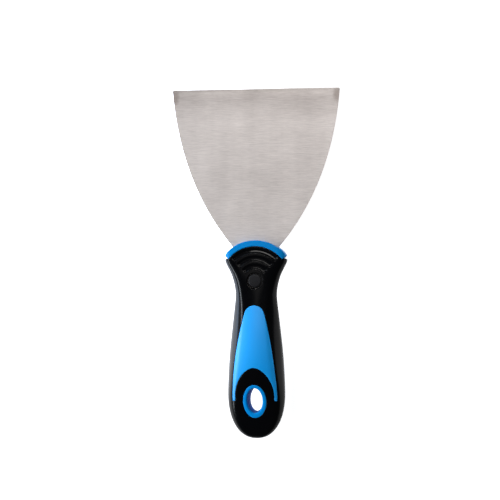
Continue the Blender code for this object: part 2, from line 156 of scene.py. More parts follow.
# cap and rivet
RIVET_HOLE_RADIUS = 2.6
WELL_RADIUS = 4.75
CAP_RADIUS = 3.75
CAP_TOP = 6.1
CAP_CROWN = 0.012  # fall of the crowned top, per mm squared
CAP_ROUND_START = 3.3
CAP_ROUND = 0.45
FLANGE_RADIUS = 4.5
FLANGE_TOP = 4.6
FLANGE_BOTTOM = 3.4

# mesh density
BODY_STEP = 0.8
BODY_CLEAR = 0.42  # least distance from the plain grid to other points
COLLAR_CLEAR = 0.35
BLADE_STEP = 3.0
BLADE_CLEAR = 1.0
GRIND_CLEAR = 1.2
BLADE_GRID = ((-50.0, -40.0), (50.0, 112.0))
GRIND_LINE = np.linspace(-19, 19, 20)  # points across the blade, where its taper starts
FINE_STEP = 0.3
FINE_ALONG = 0.45  # spacing along a fine row
FINE_MARGIN = 0.6  # from the well and from the collar
FINE_CLEAR = 0.2
FINE_HALF_DEGREES = 62.0  # how far round the cap the fine rows of the grooves run
EDGE_ROWS = ((0.0, 0.16), (0.12, 0.05), (0.3, 0.0), (0.5, 0.0))  # (distance in from an edge, drop there)
GROOVE_ROWS = (-0.7, -0.3, 0.1, 0.5, 0.85, 1.1, 1.4, 1.95, 2.45, 3.1)  # between the profile's points
GROOVE_CLEAR = (1.0, 3.5)  # inside and outside a lip, where these rows replace the even ones
HALVINGS = 40

# studio, in metres and degrees
FLOOR_HALF = 4.0
FLOOR_GAP = 0.0001
WINDOW_LIGHT = (0.84, 0.92, 1.0)
WARM_LIGHT = (1.0, 0.97, 0.95)
OVERHEAD_LIGHT = (1.0, 0.96, 0.93)
CAMERA_DISTANCE = 1000.0  # mm
CAMERA_AIM = (-3.65, 18.15, 0.0)  # mm, in the tool's frame
CAMERA_YAW = 9.1
CAMERA_PITCH = 0.7
CAMERA_ROLL = -0.2
VIEW_WIDTH = 296.3  # mm that the picture spans at the aim
SENSOR = 36.0


# -------------------------------------------------------------- the CAD frame


def tool_matrix():
    """From the tool's frame in mm to the CAD frame in metres.

    The blade's two faces give its lean, and the caps give its origin."""
    axes = {m["name"]: Vector(m["axis"]) for m in frame["record"]["mounts"]}
    normal = (axes["blade_front"] - axes["blade_back"]).normalized()
    lean = math.atan2(normal.y, normal.z)
    corners = [*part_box("cap_front"), *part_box("cap_back")]
    low = Vector([min(c[i] for c in corners) for i in range(3)])
    high = Vector([max(c[i] for c in corners) for i in range(3)])
    return Matrix.Translation((low + high) / 2) @ Matrix.Rotation(-lean, 4, "X") @ Matrix.Scale(0.001, 4)


TOOL = tool_matrix()


def cad_y(y):
    """The CAD frame's y, in metres, of a distance along the tool."""
    return (TOOL @ Vector((0.0, y, 0.0))).y


# ---------------------------------------------------------------- shape rules


def smooth(t):
    """An even step from 0 to 1."""
    t = np.clip(t, 0.0, 1.0)
    return t * t * (3 - 2 * t)


def curve_through(pairs):
    """The natural cubic curve through (distance, size) pairs, as a function."""
    at, size = np.array(sorted(pairs)).T
    gap = np.diff(at)
    count = len(at)
    system = np.eye(count)
    right = np.zeros(count)
    for i in range(1, count - 1):
        system[i, i - 1:i + 2] = gap[i - 1], 2 * (gap[i - 1] + gap[i]), gap[i]
        right[i] = 6 * ((size[i + 1] - size[i]) / gap[i] - (size[i] - size[i - 1]) / gap[i - 1])
    curl = np.linalg.solve(system, right)

    def read(y):
        y = np.clip(y, at[0], at[-1])
        i = np.clip(np.searchsorted(at, y) - 1, 0, count - 2)
        a, b, h = at[i + 1] - y, y - at[i], gap[i]
        return ((curl[i] * a**3 + curl[i + 1] * b**3) / (6 * h)
                + (size[i] / h - curl[i] * h / 6) * a + (size[i + 1] / h - curl[i + 1] * h / 6) * b)

    return read


width_at = curve_through(WIDTHS)
height_at = curve_through(HEIGHTS)
crest_at = curve_through(CRESTS)
DOME_LENGTH = DOME_START_Y - BUTT_Y


def along(v):
    """Distance along the handle for the surface coordinate v, which keeps its pace round the butt."""
    turn = np.clip((DOME_START_Y - v) / DOME_LENGTH, 0.0, math.pi / 2)
    return np.where(v > DOME_START_Y, v, DOME_START_Y - DOME_LENGTH * np.sin(turn))


def unroll(y):
    """The surface coordinate v for a distance along the handle."""
    share = np.clip((DOME_START_Y - y) / DOME_LENGTH, 0.0, 1.0)
    return np.where(y > DOME_START_Y, y, DOME_START_Y - DOME_LENGTH * np.arcsin(share))


def dome(y):
    """Share of the full section that is left at y, as the butt rounds off."""
    share = np.clip((DOME_START_Y - y) / DOME_LENGTH, 0.0, 1.0)
    return (1 - share**DOME_POWER) ** (1 / DOME_POWER)


def bezier(a, b, c, t):
    """A quadratic curve from a to c, pulled towards b."""
    return (1 - t) ** 2 * a + 2 * t * (1 - t) * b + t * t * c


def section_parts(y):
    """The quarter section at y, before the dome narrows it: side wall, fillet and crown, three curves."""
    width, height, crest = width_at(y), height_at(y) - SEAM, crest_at(y)
    shoulder = height * (1 - CROWN_SHARE)
    nothing = np.zeros_like(width)

    def point(x, z):
        return np.stack([x, z], axis=-1)

    foot = point(width, nothing)
    bow = point(width, WALL_PULL * shoulder)
    edge = point(crest, shoulder)
    rise = point(CROWN_PULL * crest, height)
    middle = point(nothing, height)
    wall_end = bezier(foot, bow, edge, 1 - FILLET)
    crown_start = bezier(edge, rise, middle, FILLET)
    wall_pull = foot + (1 - FILLET) * (bow - foot)
    crown_pull = rise + FILLET * (middle - rise)
    wall_way = wall_end - wall_pull
    crown_way = crown_start - crown_pull
    between = crown_start - wall_end
    cross = wall_way[..., 0] * crown_way[..., 1] - wall_way[..., 1] * crown_way[..., 0]
    reach = (between[..., 0] * crown_way[..., 1] - between[..., 1] * crown_way[..., 0]) / cross
    corner = wall_end + reach[..., None] * wall_way
    return [(foot, wall_pull, wall_end),
            (wall_end, corner, crown_start),
            (crown_start, crown_pull, middle)]


def lengths(parts):
    """Near enough the length of each curve."""
    found = []
    for a, b, c in parts:
        chord = np.linalg.norm(c - a, axis=-1)
        around = np.linalg.norm(b - a, axis=-1) + np.linalg.norm(c - b, axis=-1)
        found.append((2 * chord + around) / 3)
    return found


def surface(s, v):
    """Points of the front half: s runs from -1 to 1 between the parting lines, v along the handle."""
    y = along(v)
    parts = section_parts(y)
    wall, fillet, crown = lengths(parts)
    way = (1 - np.abs(s)) * (wall + fillet + crown)
    out = bezier(*parts[0], np.clip(way / wall, 0, 1)[..., None])
    in_fillet = np.clip((way - wall) / fillet, 0, 1)[..., None]
    in_crown = np.clip((way - wall - fillet) / crown, 0, 1)[..., None]
    out = np.where(in_fillet > 0, bezier(*parts[1], in_fillet), out)
    out = np.where(in_crown > 0, bezier(*parts[2], in_crown), out)
    narrow = dome(y)
    return np.stack([np.sign(s) * out[..., 0] * narrow, y, SEAM + out[..., 1] * narrow], axis=-1)


def quarter_length(v):
    """Length of the section from its middle to the parting line, never quite zero at the butt's end."""
    return sum(lengths(section_parts(along(v)))) * np.maximum(dome(along(v)), 1e-3)


def place(x, y):
    """Surface coordinates (a, v) of the point above (x, y); a is the distance from the middle line."""
    x, y = np.asarray(x, float), np.asarray(y, float)
    v = unroll(y)
    low, high = np.zeros_like(x), np.ones_like(x)
    for _ in range(HALVINGS):
        middle = (low + high) / 2
        short = surface(middle, v)[..., 0] < np.abs(x)
        low = np.where(short, middle, low)
        high = np.where(short, high, middle)
    return np.stack([np.sign(x) * low * quarter_length(v), v], axis=-1)


def groove_relief(x, y):
    """How deep the thumb grooves lie below the plain surface; the lips stand a little proud of it."""
    radius = np.hypot(x, y)
    angle = np.degrees(np.arctan2(np.abs(x), y))
    relief = np.zeros_like(radius)
    out, depth = np.array(GROOVE_PROFILE).T
    for lip, half, share in zip(GROOVE_LIPS, GROOVE_HALF_DEGREES, GROOVE_DEPTHS):
        ends = smooth(np.radians(half - angle) * radius / GROOVE_END)
        relief += share * np.interp(radius - lip, out, depth) * ends
    return relief


def handle_points(flat, drop, grooved=False):
    """Points in the tool's frame for surface coordinates (a, v), and the outward normals there."""

    def at(a, v):
        return surface(np.clip(a / quarter_length(v), -1, 1), v)

    a, v = flat.T
    step = 0.02
    point = at(a, v)
    across = at(a + step, v) - at(a - step, v)
    forward = at(a, v + step) - at(a, v - step)
    normal = np.cross(across, forward)
    size = np.linalg.norm(normal, axis=-1, keepdims=True)
    normal = np.where(size > 1e-9, normal / np.maximum(size, 1e-9), (0.0, -1.0, 0.0))
    if grooved:
        drop = drop + groove_relief(point[:, 0], point[:, 1])
    return point - normal * drop[:, None], normal


# ------------------------------------------------------------------- outlines


def arc(radius, centre, start, end, step=0.6):
    """Points of an arc, angles in degrees counted from +Y towards +X."""
    count = max(2, round(abs(math.radians(end - start)) * radius / step))
    angle = np.radians(np.linspace(start, end, count + 1))
    return np.stack([centre[0] + radius * np.sin(angle), centre[1] + radius * np.cos(angle)], axis=-1)


def mirrored(right):
    """A closed outline from its right half, listed from the top down, its ends on the middle line."""
    return np.vstack([right, (right * (-1, 1))[-2:0:-1]])


def bezier_line(a, b, c, step=0.6):
    """Points of a quadratic curve, about a step apart."""
    a, b, c = (np.array(p, float) for p in (a, b, c))
    count = max(2, round(np.linalg.norm(c - a) / step))
    return bezier(a, b, c, np.linspace(0, 1, count + 1)[:, None])


def inlay_outline(grow=0.0):
    """The blue panel: a round tip, sides that spread, two tails and the arch between them."""
    centre = (0.0, INLAY_TIP_Y - INLAY_TIP_RADIUS)
    tip = arc(INLAY_TIP_RADIUS + grow, centre, 0, 90 - INLAY_LEAN_DEGREES, 0.5)
    side = bezier_line(tip[-1], (INLAY_SIDE_BEND[0] + grow, INLAY_SIDE_BEND[1]),
                       (INLAY_HALF_WIDTH + grow, INLAY_SIDE_END_Y), 0.7)
    outer, inner = INLAY_HALF_WIDTH + grow, INLAY_HALF_WIDTH - TAIL_WIDTH - grow
    end_y = TAIL_END_Y - grow
    corner = TAIL_CORNER + grow
    down = np.linspace(INLAY_SIDE_END_Y, end_y + corner, 9)[1:]
    tail = np.vstack([np.stack([np.full(len(down), outer), down], axis=-1),
                      arc(corner, (outer - corner, end_y + corner), 90, 180, 0.12)[1:],
                      arc(corner, (inner + corner, end_y + corner), 180, 270, 0.12),
                      [(inner, (end_y + corner + ARCH_FOOT_Y) / 2)]])
    turn = np.linspace(0, math.pi / 2, 40)
    rise = ARCH_TOP_Y - grow - ARCH_FOOT_Y
    arch = np.stack([inner * np.cos(turn) ** (2 / ARCH_POWER),
                     ARCH_FOOT_Y + rise * np.sin(turn) ** (2 / ARCH_POWER)], axis=-1)
    arch[-1, 0] = 0.0
    return mirrored(np.vstack([tip, side[1:], tail, arch]))


def ellipse(half, y, count=84):
    """Points of an ellipse on the middle line, half its width and length given."""
    angle = np.linspace(0, 2 * math.pi, count, endpoint=False)
    return np.stack([half[0] * np.sin(angle), y + half[1] * np.cos(angle)], axis=-1)


def collar_outline(grow=0.0):
    """The blue band round the head, its ends cut square to the band."""
    outer, inner = COLLAR_OUTER + grow, COLLAR_INNER - grow
    end = COLLAR_END_DEGREES + math.degrees(grow / COLLAR_OUTER)
    right = np.vstack([arc(outer, (0, 0), 0, end), arc(inner, (0, 0), end, 0)])
    return mirrored(right)


def blade_outline(grow=0.0):
    """Edge, flared side and tang of the blade."""
    corner = BLADE_CORNER
    half = BLADE_HALF_WIDTH + grow
    edge = EDGE_Y + grow
    side = bezier_line((half, EDGE_Y - corner), (FLARE_BEND[0] + grow, FLARE_BEND[1]),
                       (FLARE_FOOT[0] + grow, FLARE_FOOT[1]), 1.5)
    tang_centre = (TANG_HALF_WIDTH - TANG_CORNER, TANG_END_Y + TANG_CORNER)
    right = np.vstack([[(0.0, edge)],
                       arc(corner, (half - corner, edge - corner), 0, 90, 0.3),
                       side[1:],
                       [(TANG_HALF_WIDTH + grow, TANG_SHOULDER_Y)],
                       arc(TANG_CORNER + grow, tang_centre, 90, 180),
                       [(0.0, TANG_END_Y - grow)]])
    return mirrored(right)


# ------------------------------------------------------------- mesh making


def inside(points, loop):
    """Which points lie inside a closed outline."""
    x, y = points[:, 0:1], points[:, 1:2]
    ax, ay = loop[:, 0], loop[:, 1]
    bx, by = np.roll(ax, -1), np.roll(ay, -1)
    crosses = (ay > y) != (by > y)
    with np.errstate(divide="ignore", invalid="ignore"):
        hit = x < (bx - ax) * (y - ay) / (by - ay) + ax
    return np.count_nonzero(crosses & hit, axis=1) % 2 == 1


def far_from(points, others, distance):
    """The points that keep a distance from all the others."""
    if len(points) == 0:
        return points
    keep = np.ones(len(points), bool)
    some = 2000  # points at a time, to spare memory
    for start in range(0, len(points), some):
        apart = points[start:start + some, None] - others[None]
        keep[start:start + some] = np.min(np.hypot(apart[..., 0], apart[..., 1]), axis=1) > distance
    return points[keep]


def fill(loops, rows, grid):
    """Triangles between outlines, through the rows beside them and a grid of inner points.

    loops are the closed outlines, the first one round the rest; rows are (points, drop) pairs.
    Returns the points, their drops, the triangles and the loops as lists of point numbers."""
    points = np.vstack(list(loops) + [p for p, _ in rows] + [grid])
    drops = np.concatenate([np.full(len(p), EDGE_ROWS[0][1]) for p in loops]
                           + [np.full(len(p), d) for p, d in rows] + [np.zeros(len(grid))])
    edges, numbers, start = [], [], 0
    for loop in loops:
        around = list(range(start, start + len(loop)))
        edges += list(zip(around, around[1:] + around[:1]))
        numbers.append(around)
        start += len(loop)
    found = delaunay_2d_cdt([Vector(p) for p in points.tolist()], edges, [], 0, 1e-7)
    back = [ids[0] for ids in found[3]]
    triangles = np.array([[back[i] for i in face] for face in found[2]])
    centres = points[triangles].mean(axis=1)
    keep = inside(centres, loops[0])
    for hole in loops[1:]:
        keep &= ~inside(centres, hole)
    triangles = triangles[keep]
    p = points[triangles]
    area = ((p[:, 1, 0] - p[:, 0, 0]) * (p[:, 2, 1] - p[:, 0, 1])
            - (p[:, 1, 1] - p[:, 0, 1]) * (p[:, 2, 0] - p[:, 0, 0]))
    triangles[area < 0] = triangles[area < 0][:, ::-1]
    return points, drops, triangles, numbers


def closed(top, bottom, triangles, loops):
    """Vertices and faces of a solid: the same triangles above and below, walls along its outlines."""
    count = len(top)
    faces = triangles.tolist() + (triangles[:, ::-1] + count).tolist()
    directed = {(a, b) for t in triangles.tolist() for a, b in zip(t, t[1:] + t[:1])}
    for loop in loops:
        for a, b in zip(loop, loop[1:] + loop[:1]):
            if (a, b) not in directed:
                a, b = b, a
            faces.append([b, a, a + count, b + count])
    return np.vstack([top, bottom]), faces


def make(name, vertices, faces, surface_material, slot, replaced, flip=False, sharp=38, second=None,
         normals=None):
    """One finished piece, carried into the CAD frame, mirrored in the blade's plane if flip is set.

    sharp is the angle in degrees past which an edge stays sharp. second is (material, numbers of the
    faces that have it). normals holds the exact normal of each vertex on a smooth surface, and zero
    for the other vertices."""
    mirror = (1, 1, -1) if flip else (1, 1, 1)
    vertices = np.asarray(vertices, float) * mirror
    if flip:
        faces = [face[::-1] for face in faces]
    turn = np.array(TOOL)
    world = vertices @ turn[:3, :3].T + turn[:3, 3]
    used = np.unique(np.concatenate([np.asarray(f) for f in faces]))
    new_number = np.full(len(world), -1)
    new_number[used] = np.arange(len(used))
    mesh = bpy.data.meshes.new(name)
    mesh.from_pydata(world[used].tolist(), [], [[int(new_number[i]) for i in face] for face in faces])
    mesh.materials.append(surface_material)
    if second:
        mesh.materials.append(second[0])
        for number in second[1]:
            mesh.polygons[number].material_index = 1
    mesh.validate()
    mesh.shade_smooth()
    mesh.set_sharp_from_angle(angle=math.radians(sharp))
    if normals is not None:
        turned = (normals * mirror) @ turn[:3, :3].T * 1000
        mesh.normals_split_custom_set_from_vertices(turned[used].tolist())
    piece = bpy.data.objects.new(name, mesh)
    bpy.context.scene.collection.objects.link(piece)
    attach(piece, "root")
    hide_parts(*replaced)


def both_halves(name, vertices, faces, surface_material, slot, node, **rest):
    """A piece and its mirror image, each in the place of its half of the CAD node."""
    for end, flip in (("_front", False), ("_back", True)):
        make(name + end, vertices, faces, surface_material, slot, (node + end,), flip, **rest)


def grid_over(low, high, step):
    """Inner points on a regular grid, every other row set off by half a step."""
    xs = np.arange(low[0], high[0], step)
    ys = np.arange(low[1], high[1], step * math.sqrt(3) / 2)
    x, y = np.meshgrid(xs, ys)
    x[1::2] += step / 2
    return np.stack([x.ravel(), y.ravel()], axis=-1)


# ------------------------------------------------------------------ materials


class Nodes:
    """A short hand for wiring one material."""

    def __init__(self, name):
        self.material = bpy.data.materials.new(name)
        self.material.use_nodes = True
        self.tree = self.material.node_tree
        self.shader = self.tree.nodes["Principled BSDF"]
        self.place = self.add("ShaderNodeTexCoord").outputs["Object"]
        split = self.add("ShaderNodeSeparateXYZ")
        self.link(self.place, split.inputs["Vector"])
        self.x, self.y = split.outputs[:2]

    def add(self, kind, **settings):
        """A new node with its settings."""
        node = self.tree.nodes.new(kind)
        for key, value in settings.items():
            setattr(node, key, value)
        return node

    def link(self, source, target):
        """Wire an output to an input."""
        self.tree.links.new(source, target)

    def noise(self, stretch, scale, detail=2.0, roughness=0.5):
        """Noise in the object's own coordinates; a stretch below 1 draws it out along that axis."""
        mapping = self.add("ShaderNodeMapping")
        mapping.inputs["Scale"].default_value = stretch
        self.link(self.place, mapping.inputs["Vector"])
        noise = self.add("ShaderNodeTexNoise")
        noise.inputs["Scale"].default_value = scale
        noise.inputs["Detail"].default_value = detail
        noise.inputs["Roughness"].default_value = roughness
        self.link(mapping.outputs["Vector"], noise.inputs["Vector"])
        return noise.outputs["Fac"]

    def spread(self, value, low, high, to_low, to_high):
        """A value that goes from to_low to to_high as the given one goes from low to high."""
        node = self.add("ShaderNodeMapRange")
        node.inputs["From Min"].default_value = low
        node.inputs["From Max"].default_value = high
        node.inputs["To Min"].default_value = to_low
        node.inputs["To Max"].default_value = to_high
        self.link(value, node.inputs["Value"])
        return node.outputs["Result"]

    def mix(self, share, first, second):
        """A colour between two colours; either may be a socket."""
        node = self.add("ShaderNodeMix", data_type="RGBA")
        self.link(share, node.inputs["Factor"])
        sockets = [s for s in node.inputs if s.type == "RGBA"]
        for socket, colour in zip(sockets, (first, second)):
            if isinstance(colour, tuple):
                socket.default_value = (*colour, 1.0)
            else:
                self.link(colour, socket)
        return [s for s in node.outputs if s.type == "RGBA"][0]

    def maths(self, operation, first, second):
        """One sum; either value may be a socket."""
        node = self.add("ShaderNodeMath", operation=operation)
        for socket, value in zip(node.inputs, (first, second)):
            if isinstance(value, (int, float)):
                socket.default_value = value
            else:
                self.link(value, socket)
        return node.outputs["Value"]

    def bump(self, height, strength, distance):
        """Fine relief on the shader; distance is its depth in metres."""
        node = self.add("ShaderNodeBump")
        node.inputs["Strength"].default_value = strength
        node.inputs["Distance"].default_value = distance
        self.link(height, node.inputs["Height"])
        self.link(node.outputs["Normal"], self.shader.inputs["Normal"])

    def set(self, **values):
        """Numbers, colours or sockets for the shader's own inputs."""
        for key, value in values.items():
            socket = self.shader.inputs[key.replace("_", " ")]
            if isinstance(value, (int, float)):
                socket.default_value = value
            elif isinstance(value, tuple):
                socket.default_value = (*value, 1.0)
            else:
                self.link(value, socket)


def brushed_steel():
    """Sheet steel brushed across the blade, with faint bands along it.

    It is darker along the cutting edge and stained at the two corners."""
    n = Nodes("brushed_stainless")
    fine = n.noise((0.04, 1.0, 1.0), 9000.0, 3.0, 0.6)
    lines = n.noise((0.06, 1.0, 1.0), 2400.0, 3.0)
    bands = n.noise((1.0, 0.07, 0.07), 75.0, 3.0)
    patches = n.noise((0.6, 1.0, 1.0), 42.0, 2.0)
    cloud = n.noise((1.0, 1.0, 1.0), 260.0, 3.0)
    streaks = n.maths("ADD", n.maths("MULTIPLY", fine, 0.5), n.maths("MULTIPLY", lines, 0.5))
    tone = n.spread(streaks, 0.35, 0.65, 0.1, 0.75)
    tone = n.maths("ADD", tone, n.spread(bands, 0.35, 0.65, -0.10, 0.10))
    tone = n.maths("ADD", tone, n.spread(patches, 0.35, 0.65, -0.14, 0.10))
    tone = n.maths("ADD", tone, n.spread(n.y, cad_y(75), cad_y(30), 0.0, 0.15))
    tone = n.maths("SUBTRACT", tone, n.spread(n.y, cad_y(EDGE_Y - 20), cad_y(EDGE_Y - 6), 0.0, 0.6))
    body = n.mix(n.spread(tone, -0.5, 1.0, 0.0, 1.0), (0.475, 0.430, 0.408), (0.90, 0.835, 0.80))
    out = n.maths("SUBTRACT", n.maths("ABSOLUTE", n.x, 0.0), STAIN_OUT / 1000)
    out = n.maths("DIVIDE", out, STAIN_HALF[0] / 1000)
    down = n.maths("SUBTRACT", n.y, cad_y(EDGE_Y - STAIN_DOWN))
    down = n.maths("DIVIDE", down, STAIN_HALF[1] / 1000)
    apart = n.maths("ADD", n.maths("MULTIPLY", out, out), n.maths("MULTIPLY", down, down))
    apart = n.maths("ADD", apart, n.spread(cloud, 0.3, 0.7, -0.5, 0.5))
    stained = n.mix(n.spread(apart, 0.2, 1.7, 0.62, 0.0), body, (0.30, 0.245, 0.22))
    edge = n.spread(n.y, cad_y(EDGE_Y - 2.2), cad_y(EDGE_Y - 0.6), 0.0, 0.42)
    n.set(Base_Color=n.mix(edge, stained, (0.34, 0.31, 0.29)), Metallic=0.8,
          Roughness=n.spread(streaks, 0.3, 0.7, 0.34, 0.5))
    n.bump(streaks, 0.25, 0.00004)
    return n.material


def grained(name, colour, shade, roughness, grain, depth, specular=0.5, metallic=0.0):
    """A surface with a fine grain: colour and shade are its two nearly equal tones."""
    n = Nodes(name)
    cloud = n.noise((1.0, 1.0, 1.0), 60.0, 3.0)
    speckle = n.noise((1.0, 1.0, 1.0), grain, 2.0, 0.6)
    n.set(Base_Color=n.mix(n.spread(cloud, 0.3, 0.7, 0.0, 1.0), colour, shade),
          Roughness=n.spread(speckle, 0.3, 0.7, roughness - 0.04, roughness + 0.06),
          Specular_IOR_Level=specular, Metallic=metallic)
    n.bump(speckle, 0.35, depth)
    return n.material


def floor_paper():
    """A pale table that glows evenly, with a painted pool of light on the left, the side of the main
    light: there it glows much brighter and a little bluer.
    """
    n = Nodes("pale_table")
    cloud = n.noise((1.0, 1.0, 1.0), 3.0, 3.0)
    # painted light: the patch on the left where the floor glows brighter, standing in for the main light
    left = n.spread(n.x, -0.13, 0.02, 1.0, 0.0)
    left = n.maths("MULTIPLY", left, n.spread(n.y, -0.10, -0.03, 0.15, 1.0))
    n.set(Base_Color=n.mix(cloud, (0.27, 0.27, 0.27), (0.29, 0.29, 0.29)),
          Roughness=0.9,
          Specular_IOR_Level=0.1,
          Emission_Color=n.mix(left, (1.0, 1.0, 1.0), (0.55, 0.72, 1.0)),
          Emission_Strength=n.spread(left, 0.0, 1.0, 0.90, 8.5))
    return n.material


STEEL = brushed_steel()
RIVET_STEEL = grained("zinc_plated_steel", (0.45, 0.45, 0.46), (0.5, 0.5, 0.5),
                      roughness=0.35, grain=3000.0, depth=0.00002, metallic=1.0)
INLAY_BLUE = grained("blue_grained", (0.0, 0.375, 0.96), (0.0, 0.355, 0.92),
                     roughness=0.40, grain=1700.0, depth=0.00008, specular=0.45)
GLOSS_BLUE = grained("blue_smooth", (0.0, 0.22, 0.60), (0.0, 0.23, 0.63),
                     roughness=0.30, grain=1500.0, depth=0.000006, specular=0.10)
SKIN_BLACK = grained("black_soft_skin", (0.0008, 0.0009, 0.0014), (0.0012, 0.0013, 0.0018),
                     roughness=0.16, grain=1800.0, depth=0.000003, specular=0.12)
CAP_BLACK = grained("black_cap", (0.007, 0.007, 0.009), (0.012, 0.011, 0.012),
                    roughness=0.38, grain=2600.0, depth=0.00001, specular=0.25)
# the collar's smooth blue made lighter for the ring round the hang hole: painted light
LIT_RING_BLUE = grained("blue_rim_painted_light", (0.0, 0.265, 0.74), (0.0, 0.275, 0.77),
                    roughness=0.30, grain=1500.0, depth=0.000006, specular=0.10)
# the ring's blue made much darker for the bore and the foot of its lip: painted shade down the hole
SHADED_BORE_BLUE = grained("blue_bore_painted_shade", (0.0, 0.10, 0.40), (0.0, 0.09, 0.37),
                    roughness=0.65, grain=1500.0, depth=0.000006, specular=0.05)


# ---------------------------------------------------------------------- blade


def make_blade():
    """The sheet with its taper grind, the rivet hole and its arrises broken."""

    def half_thickness(y):
        share = np.clip((y - GRIND_START_Y) / (EDGE_Y - GRIND_START_Y), 0, 1)
        return (BLADE_THICKNESS + (EDGE_THICKNESS - BLADE_THICKNESS) * share) / 2

    outline = blade_outline()
    row = blade_outline(-BLADE_BEVEL)
    hole = arc(RIVET_HOLE_RADIUS, (0, 0), 0, 345, 0.65)
    line = np.stack([GRIND_LINE, np.full(len(GRIND_LINE), GRIND_START_Y)], axis=-1)
    grid = np.vstack([far_from(grid_over(*BLADE_GRID, BLADE_STEP), line, GRIND_CLEAR), line])
    grid = far_from(grid, np.vstack([outline, row, hole]), BLADE_CLEAR)
    points, drops, triangles, loops = fill([outline, hole], [(row, 0.0)], grid)
    drops[:len(outline)] = BLADE_BEVEL
    drops[len(outline):len(outline) + len(hole)] = 0.0
    height = half_thickness(points[:, 1]) - drops
    top = np.column_stack([points, height])
    bottom = np.column_stack([points, -height])
    vertices, faces = closed(top, bottom, triangles, loops)
    make("blade_sheet", vertices, faces, STEEL, "blade_steel", ("blade",), sharp=30)


# ------------------------------------------------------------------ soft skin


def parting_line(v_from, v_to, step=0.7):
    """The right edge of the front half, in surface coordinates."""
    v = np.linspace(v_from, v_to, max(2, round(abs(v_to - v_from) / step)) + 1)
    return np.stack([quarter_length(v), v], axis=-1)


def head_arc(distance, start, end):
    """The round head of the skin, a distance in from its edge."""
    return arc(COLLAR_INNER - HEAD_GAP - distance, (0, 0), start, end, 0.5)


def skin_outline():
    """Once round the black skin in surface coordinates, from the middle of the head."""
    head = np.vstack([head_arc(0.0, 0, COLLAR_END_DEGREES + HEAD_END_DEGREES), NOTCH, SHOULDER_CORNER])
    pole = DOME_START_Y - DOME_LENGTH * math.pi / 2
    side = parting_line(SHOULDER_Y, pole + BUTT_GAP)
    right = np.vstack([place(*head.T), side])
    left = (right * (-1, 1))[::-1]
    return np.vstack([right, left[:-1]])


def polar_points():
    """Points round the cap, closer together across the groove walls."""
    even = np.arange(WELL_RADIUS + FINE_MARGIN, COLLAR_INNER - FINE_MARGIN, FINE_STEP)
    radii = set(np.round(even, 2).tolist())
    for lip in GROOVE_LIPS:
        radii = {r for r in radii if not lip - GROOVE_CLEAR[0] < r < lip + GROOVE_CLEAR[1]}
        radii |= {lip + out for out, _ in GROOVE_PROFILE}
        radii |= {lip + out for out in GROOVE_ROWS}
    return np.vstack([arc(radius, (0, 0), -FINE_HALF_DEGREES, FINE_HALF_DEGREES, FINE_ALONG)[:-1]
                      for radius in sorted(radii)])


def beside(loop_of):
    """Rows that run beside an outline, as (points in surface coordinates, drop)."""
    return [(place(*loop_of(distance).T), drop) for distance, drop in EDGE_ROWS[1:]]


def make_skin():
    """The black shell, with a window for the inlay, a hole for the ring and a well for the cap."""

    def window(distance):
        return inlay_outline(SKIN_GAP + distance)

    def ring(distance):
        return ellipse(np.array(RING_HALF) + SKIN_GAP + distance, HOLE_Y)

    def well(distance):
        return ellipse((WELL_RADIUS + distance, WELL_RADIUS + distance), 0.0, 60)

    def head(distance):
        return head_arc(distance, -HEAD_ROW_DEGREES, HEAD_ROW_DEGREES)

    outline = skin_outline()
    loops = [outline] + [place(*loop_of(0.0).T) for loop_of in (window, ring, well)]
    rows = [row for loop_of in (window, ring, well, head) for row in beside(loop_of)]
    crowd = np.vstack(loops + [p for p, _ in rows])
    fine = far_from(place(*polar_points().T), crowd, FINE_CLEAR)
    grid = grid_over(outline.min(axis=0), outline.max(axis=0), BODY_STEP)
    grid = far_from(grid[inside(grid, outline)], np.vstack([crowd, fine]), BODY_CLEAR)
    fine = fine[inside(fine, outline)]
    points, drops, triangles, numbers = fill(loops, rows, np.vstack([fine, grid]))
    drops[:len(outline)][outline[:, 1] < SHOULDER_Y + 0.01] = PARTING_DROP
    top, normal = handle_points(points, drops, grooved=True)
    base, _ = handle_points(points, np.zeros(len(points)))
    depth = SKIN * np.minimum(1.0, base[:, 2] / SKIN * SKIN_REGAIN + SKIN_EDGE_SHARE)
    under = base - normal * depth[:, None]
    under[:, 2] = np.maximum(under[:, 2], SEAM)
    vertices, faces = closed(top, under, triangles, numbers)
    plain = (drops == 0) & (groove_relief(base[:, 0], base[:, 1]) == 0)
    normals = np.vstack([normal * plain[:, None], np.zeros_like(under)])
    both_halves("grip_skin", vertices, faces, SKIN_BLACK, "grip_skin", "grip", normals=normals)


# ---------------------------------------------------------- the blue moulding


def panel(outline_of, clear):
    """Mesh of a panel in the handle's surface, as fill returns it; outline_of takes a distance in."""
    loop = place(*outline_of(0.0).T)
    rows = beside(outline_of)
    grid = grid_over(loop.min(axis=0), loop.max(axis=0), BODY_STEP)
    grid = far_from(grid[inside(grid, loop)], np.vstack([loop] + [p for p, _ in rows]), clear)
    return fill([loop], rows, grid)


def make_inlay():
    """The grained panel that the black skin leaves open."""

    def outline(distance):
        return inlay_outline(-INLAY_GAP - distance)

    points, drops, triangles, numbers = panel(outline, BODY_CLEAR)
    top, normal = handle_points(points, drops)
    under = top - normal * INLAY_DEPTH
    vertices, faces = closed(top, under, triangles, numbers)
    normals = np.vstack([normal * (drops == 0)[:, None], np.zeros_like(under)])
    both_halves("inlay", vertices, faces, INLAY_BLUE, "core_plastic", "core", normals=normals)


def surface_height(x, y):
    """Height of the handle's plain surface above (x, y)."""
    flat = place(x, y)
    return surface(flat[:, 0] / quarter_length(flat[:, 1]), flat[:, 1])[:, 2]


